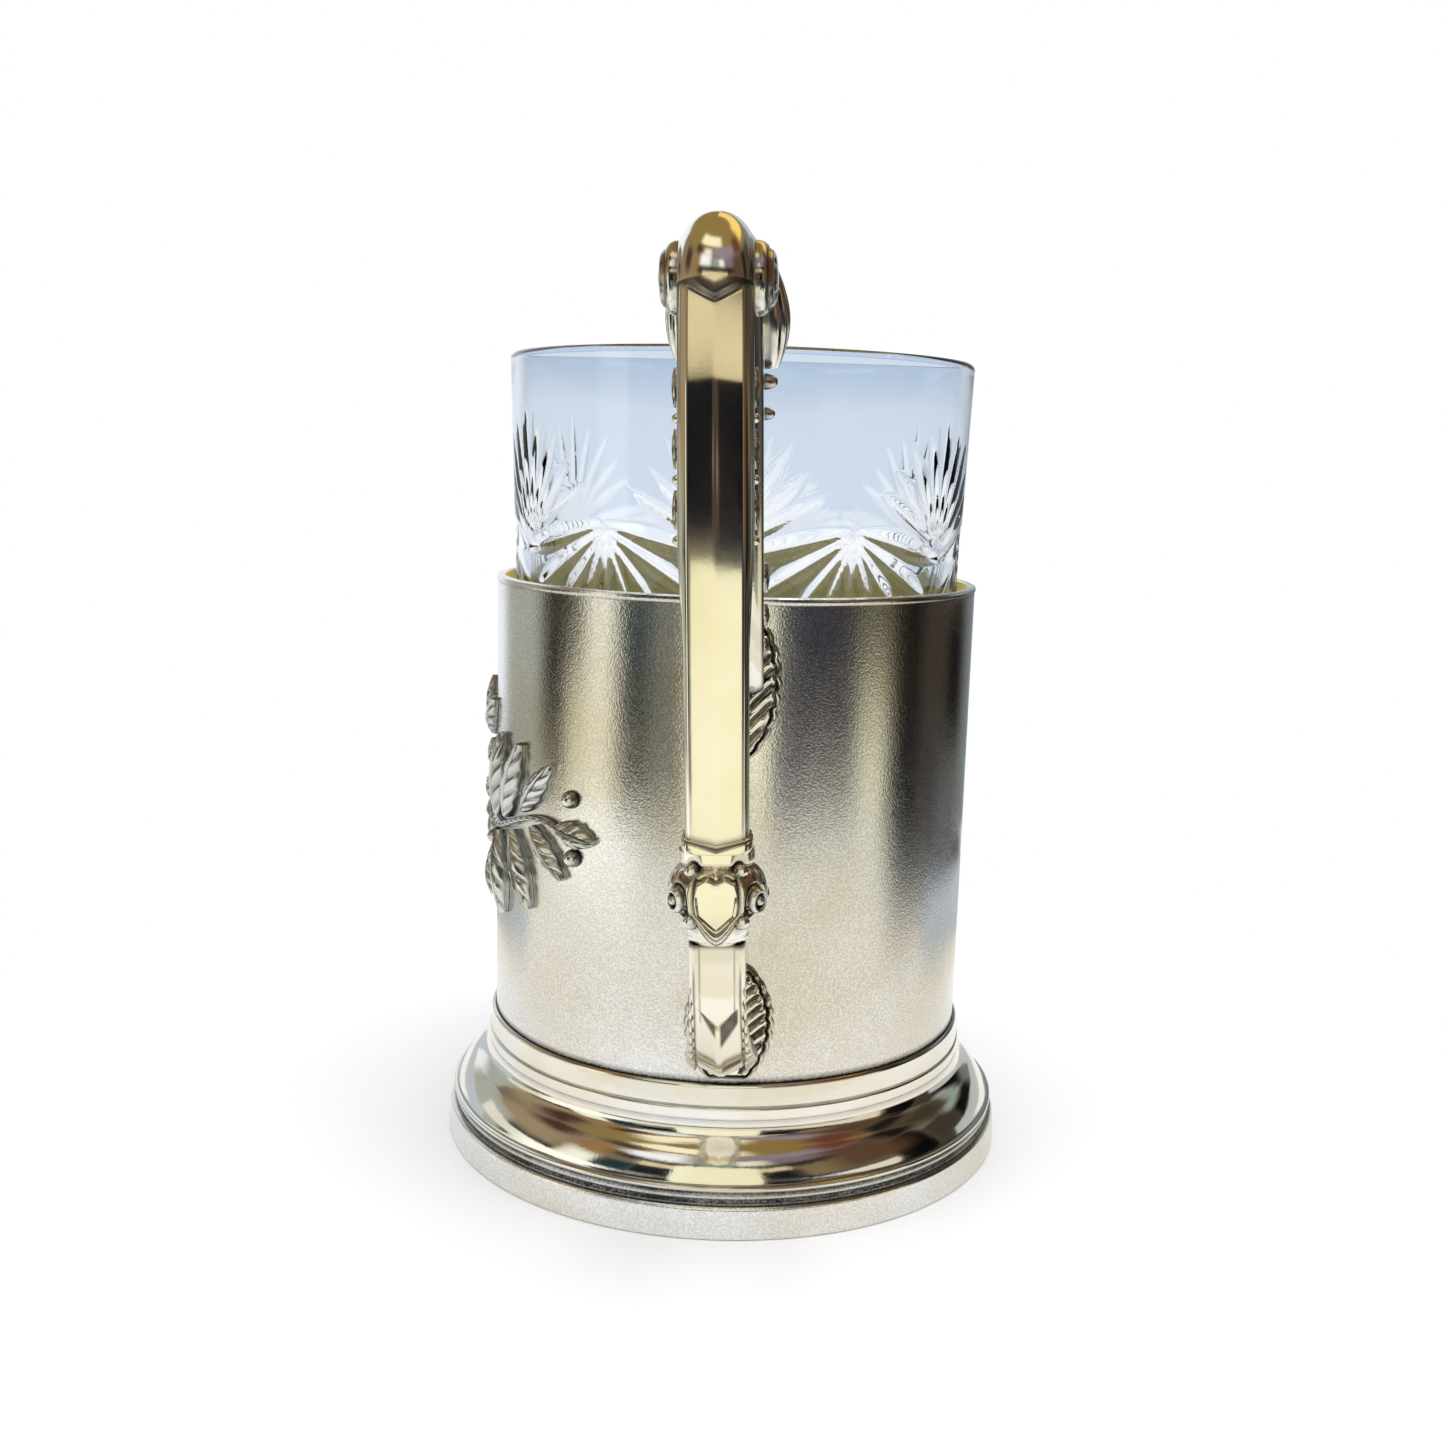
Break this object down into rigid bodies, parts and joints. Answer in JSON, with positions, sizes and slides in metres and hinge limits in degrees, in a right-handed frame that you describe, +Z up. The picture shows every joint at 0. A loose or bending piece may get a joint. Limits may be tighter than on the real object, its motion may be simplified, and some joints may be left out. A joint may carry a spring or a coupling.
{
  "type": "tea glass holder",
  "caption": "Silver tea glass holder: cylindrical sleeve on a spun foot, cast ear handle with thumb rest and knot, applied leaf spray, and a cut crystal glass that lifts out.",
  "frame": {"origin": "centre of the foot's base, on the table", "axes": "+Z up along the axis of the sleeve and the glass, -Y towards the handle, -X towards the applied spray"},
  "size_m": [0.084, 0.1076, 0.1279],
  "materials": {
    "satin_silver": "fine matt grain, as on worn satin silver",
    "polished_silver": "polished, with dark oxide left in the hollows",
    "warm_silver": "polished, slightly yellowed",
    "dark_silver": "oxidised, with the high points rubbed bright",
    "crystal": "clear, polished, with fans cut round the upper half"
  },
  "bodies": {
    "holder": {"sleeve": "satin_silver", "foot_collar": "polished_silver", "foot_flare": "polished_silver", "foot_band": "satin_silver", "seat_floor": "satin_silver", "handle_bar": "warm_silver", "thumb_scroll": "warm_silver", "scroll_cheeks": "polished_silver", "thumb_leaves": "polished_silver", "handle_arm": "polished_silver", "upper_leaf_plate": "polished_silver", "bar_garland": "polished_silver", "arm_garland": "polished_silver", "handle_ferrule": "polished_silver", "handle_knot": "warm_silver", "knot_pearls": "polished_silver", "knot_eyes": "dark_silver", "handle_leg": "warm_silver", "lower_leaf_plate": "polished_silver", "rosette_petals": "dark_silver", "rosette_boss": "polished_silver", "spray_stems": "dark_silver", "spray_leaves": "dark_silver", "spray_finials": "dark_silver", "spray_berries": "polished_silver"},
    "glass": {"tea_glass": "crystal"}
  },
  "joints": [
    {"name": "glass_lift", "type": "slide", "parent": "holder", "child": "glass", "axis": [0, 0, 1], "range_m": [0, 0.1]}
  ]
}
